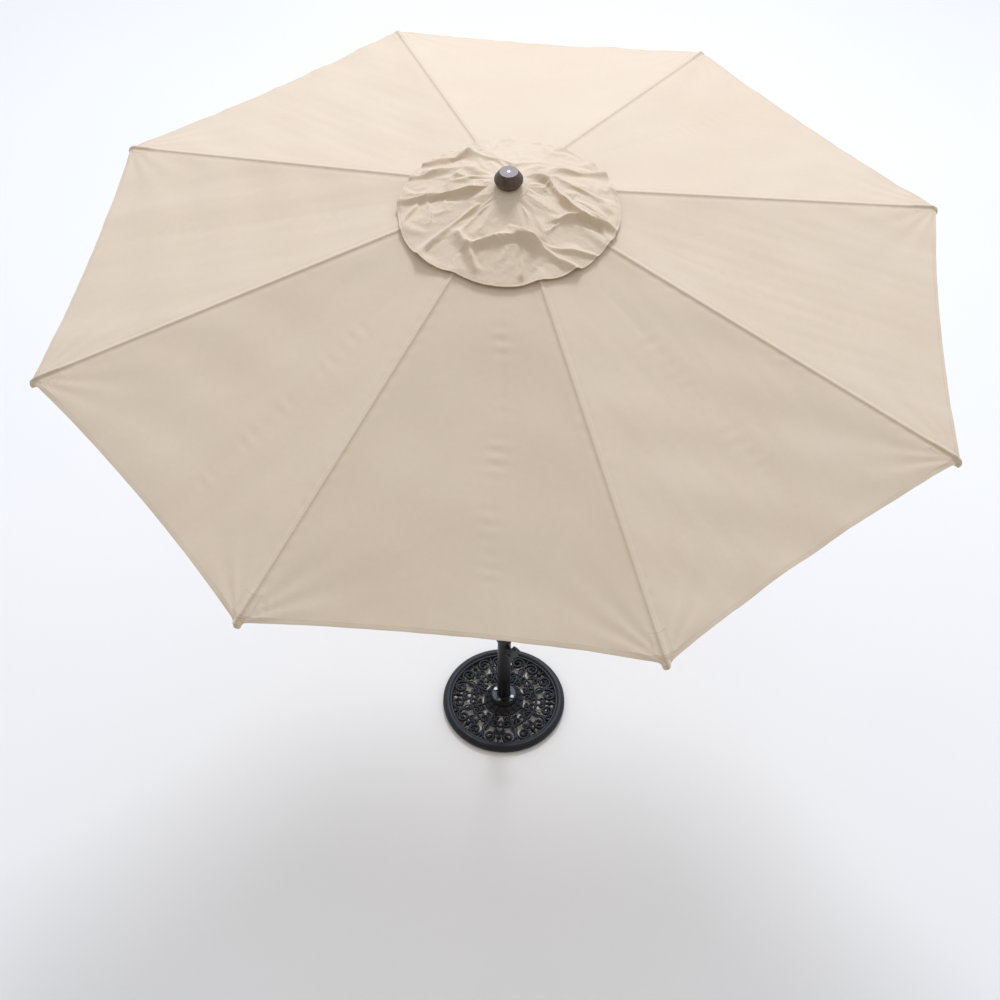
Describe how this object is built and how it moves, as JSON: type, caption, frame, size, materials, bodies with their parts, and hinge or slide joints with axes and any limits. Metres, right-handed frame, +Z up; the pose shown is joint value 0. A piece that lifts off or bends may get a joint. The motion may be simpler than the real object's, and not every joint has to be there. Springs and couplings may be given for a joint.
{
  "type": "patio umbrella with base",
  "caption": "Eight-sided vented patio umbrella on an upright mast with crank, tilt joint, folding ribs and a round openwork cast base with stem and clamp knob.",
  "frame": {"origin": "centre of the base's underside, where its feet stand on the ground", "axes": "+Z up along the mast, +X along the first rib, the other ribs every 45 degrees"},
  "size_m": [2.616, 2.616, 2.4862],
  "materials": {
    "cast_black": "satin",
    "stem_black": "satin",
    "black_plastic": "matte",
    "foot_rubber": "matte",
    "bronze_coat": "satin",
    "rib_coat": "satin",
    "crank_coat": "satin",
    "cast_alloy": "satin",
    "plated_steel": "satin",
    "hub_plastic": "matte",
    "finial_bronze": "satin",
    "canopy_cloth": "matte"
  },
  "bodies": {
    "base": {"base_casting": "cast_black", "base_feet": "foot_rubber", "base_stem": "stem_black", "stem_bolts": "plated_steel", "stem_collar": "black_plastic"},
    "knob": {"clamp_knob": "black_plastic"},
    "lower_mast": {"pole_lower": "bronze_coat", "pole_foot_plug": "black_plastic"},
    "upper_mast": {"pole_upper": "bronze_coat", "crank_housing_back": "black_plastic", "crank_housing_front": "black_plastic", "housing_screws": "plated_steel", "tilt_fork": "cast_alloy", "tilt_pin": "plated_steel", "tilt_spring": "plated_steel"},
    "crank": {"crank_spool": "black_plastic", "crank_arm": "crank_coat"},
    "grip": {"crank_grip": "black_plastic"},
    "button": {"tilt_button": "black_plastic"},
    "head": {"tilt_knuckle": "cast_alloy", "pole_top": "bronze_coat", "top_hub": "hub_plastic", "hub_pins": "plated_steel", "finial": "finial_bronze", "finial_screw": "plated_steel", "vent_cap": "canopy_cloth"},
    "runner": {"runner": "hub_plastic", "runner_pins": "plated_steel"},
    "rib_1": {"rib_1": "rib_coat", "rib_fittings_1": "plated_steel", "canopy_1": "canopy_cloth"},
    "strut_1": {"strut_1": "rib_coat"},
    "rib_2": {"rib_2": "rib_coat", "rib_fittings_2": "plated_steel", "canopy_2": "canopy_cloth"},
    "strut_2": {"strut_2": "rib_coat"},
    "rib_3": {"rib_3": "rib_coat", "rib_fittings_3": "plated_steel", "canopy_3": "canopy_cloth"},
    "strut_3": {"strut_3": "rib_coat"},
    "rib_4": {"rib_4": "rib_coat", "rib_fittings_4": "plated_steel", "canopy_4": "canopy_cloth"},
    "strut_4": {"strut_4": "rib_coat"},
    "rib_5": {"rib_5": "rib_coat", "rib_fittings_5": "plated_steel", "canopy_5": "canopy_cloth"},
    "strut_5": {"strut_5": "rib_coat"},
    "rib_6": {"rib_6": "rib_coat", "rib_fittings_6": "plated_steel", "canopy_6": "canopy_cloth"},
    "strut_6": {"strut_6": "rib_coat"},
    "rib_7": {"rib_7": "rib_coat", "rib_fittings_7": "plated_steel", "canopy_7": "canopy_cloth"},
    "strut_7": {"strut_7": "rib_coat"},
    "rib_8": {"rib_8": "rib_coat", "rib_fittings_8": "plated_steel", "canopy_8": "canopy_cloth"},
    "strut_8": {"strut_8": "rib_coat"}
  },
  "joints": [
    {"name": "mast_lift", "type": "slide", "parent": "base", "child": "lower_mast", "axis": [0, 0, 1], "range_m": [0, 0.365]},
    {"name": "mast_swivel", "type": "hinge", "parent": "lower_mast", "child": "upper_mast", "pos_m": [0, 0, 0.8], "axis": [0, 0, 1], "continuous": true},
    {"name": "knob_turn", "type": "hinge", "parent": "base", "child": "knob", "pos_m": [0, 0, 0.372], "axis": [0.3827, -0.9239, 0], "continuous": true},
    {"name": "crank_turn", "type": "hinge", "parent": "upper_mast", "child": "crank", "pos_m": [0, 0, 0.96], "axis": [-0.3827, -0.9239, 0], "continuous": true},
    {"name": "grip_spin", "type": "hinge", "parent": "crank", "child": "grip", "pos_m": [-0.03061, -0.07391, 0.87], "axis": [-0.3827, -0.9239, 0], "continuous": true},
    {"name": "button_press", "type": "slide", "parent": "upper_mast", "child": "button", "axis": [0, 1, 0], "range_m": [0, 0.0035], "stiffness_N_per_m": 900, "springref_m": -0.002, "deforming": ["tilt_spring"]},
    {"name": "tilt", "type": "hinge", "parent": "upper_mast", "child": "head", "pos_m": [0, 0, 1.815], "axis": [0, 1, 0], "range_deg": [-35, 0]},
    {"name": "rib_1_fold", "type": "hinge", "parent": "head", "child": "rib_1", "pos_m": [0.036, 0, 2.42], "axis": [0, 1, 0], "range_deg": [0, 70.5], "deforming": ["canopy_1", "vent_cap"]},
    {"name": "rib_2_fold", "type": "hinge", "parent": "head", "child": "rib_2", "pos_m": [0.02546, 0.02546, 2.42], "axis": [-0.7071, 0.7071, 0], "range_deg": [0, 70.5], "deforming": ["canopy_2"]},
    {"name": "rib_3_fold", "type": "hinge", "parent": "head", "child": "rib_3", "pos_m": [0, 0.036, 2.42], "axis": [-1, 0, 0], "range_deg": [0, 70.5], "deforming": ["canopy_3"]},
    {"name": "rib_4_fold", "type": "hinge", "parent": "head", "child": "rib_4", "pos_m": [-0.02546, 0.02546, 2.42], "axis": [-0.7071, -0.7071, 0], "range_deg": [0, 70.5], "deforming": ["canopy_4"]},
    {"name": "rib_5_fold", "type": "hinge", "parent": "head", "child": "rib_5", "pos_m": [-0.036, 0, 2.42], "axis": [0, -1, 0], "range_deg": [0, 70.5], "deforming": ["canopy_5"]},
    {"name": "rib_6_fold", "type": "hinge", "parent": "head", "child": "rib_6", "pos_m": [-0.02546, -0.02546, 2.42], "axis": [0.7071, -0.7071, 0], "range_deg": [0, 70.5], "deforming": ["canopy_6"]},
    {"name": "rib_7_fold", "type": "hinge", "parent": "head", "child": "rib_7", "pos_m": [0, -0.036, 2.42], "axis": [1, 0, 0], "range_deg": [0, 70.5], "deforming": ["canopy_7"]},
    {"name": "rib_8_fold", "type": "hinge", "parent": "head", "child": "rib_8", "pos_m": [0.02546, -0.02546, 2.42], "axis": [0.7071, 0.7071, 0], "range_deg": [0, 70.5], "deforming": ["canopy_8"]},
    {"name": "strut_1_fold", "type": "hinge", "parent": "rib_1", "child": "strut_1", "pos_m": [0.6099, 0, 2.24424], "axis": [0, 1, 0], "range_deg": [-141, 0]},
    {"name": "strut_2_fold", "type": "hinge", "parent": "rib_2", "child": "strut_2", "pos_m": [0.43127, 0.43127, 2.24424], "axis": [-0.7071, 0.7071, 0], "range_deg": [-141, 0]},
    {"name": "strut_3_fold", "type": "hinge", "parent": "rib_3", "child": "strut_3", "pos_m": [0, 0.6099, 2.24424], "axis": [-1, 0, 0], "range_deg": [-141, 0]},
    {"name": "strut_4_fold", "type": "hinge", "parent": "rib_4", "child": "strut_4", "pos_m": [-0.43127, 0.43127, 2.24424], "axis": [-0.7071, -0.7071, 0], "range_deg": [-141, 0]},
    {"name": "strut_5_fold", "type": "hinge", "parent": "rib_5", "child": "strut_5", "pos_m": [-0.6099, 0, 2.24424], "axis": [0, -1, 0], "range_deg": [-141, 0]},
    {"name": "strut_6_fold", "type": "hinge", "parent": "rib_6", "child": "strut_6", "pos_m": [-0.43127, -0.43127, 2.24424], "axis": [0.7071, -0.7071, 0], "range_deg": [-141, 0]},
    {"name": "strut_7_fold", "type": "hinge", "parent": "rib_7", "child": "strut_7", "pos_m": [0, -0.6099, 2.24424], "axis": [1, 0, 0], "range_deg": [-141, 0]},
    {"name": "strut_8_fold", "type": "hinge", "parent": "rib_8", "child": "strut_8", "pos_m": [0.43127, -0.43127, 2.24424], "axis": [0.7071, 0.7071, 0], "range_deg": [-141, 0]},
    {"name": "runner_pivot", "type": "hinge", "parent": "strut_1", "child": "runner", "pos_m": [0.036, 0, 2.06848], "axis": [0, 1, 0], "range_deg": [0, 70.5]}
  ],
  "couplings": [
    {"joint": "rib_2_fold", "follows": "rib_1_fold", "ratio": 1},
    {"joint": "rib_3_fold", "follows": "rib_1_fold", "ratio": 1},
    {"joint": "rib_4_fold", "follows": "rib_1_fold", "ratio": 1},
    {"joint": "rib_5_fold", "follows": "rib_1_fold", "ratio": 1},
    {"joint": "rib_6_fold", "follows": "rib_1_fold", "ratio": 1},
    {"joint": "rib_7_fold", "follows": "rib_1_fold", "ratio": 1},
    {"joint": "rib_8_fold", "follows": "rib_1_fold", "ratio": 1},
    {"joint": "strut_1_fold", "follows": "rib_1_fold", "ratio": -2},
    {"joint": "strut_2_fold", "follows": "rib_1_fold", "ratio": -2},
    {"joint": "strut_3_fold", "follows": "rib_1_fold", "ratio": -2},
    {"joint": "strut_4_fold", "follows": "rib_1_fold", "ratio": -2},
    {"joint": "strut_5_fold", "follows": "rib_1_fold", "ratio": -2},
    {"joint": "strut_6_fold", "follows": "rib_1_fold", "ratio": -2},
    {"joint": "strut_7_fold", "follows": "rib_1_fold", "ratio": -2},
    {"joint": "strut_8_fold", "follows": "rib_1_fold", "ratio": -2},
    {"joint": "runner_pivot", "follows": "rib_1_fold", "ratio": 1}
  ]
}
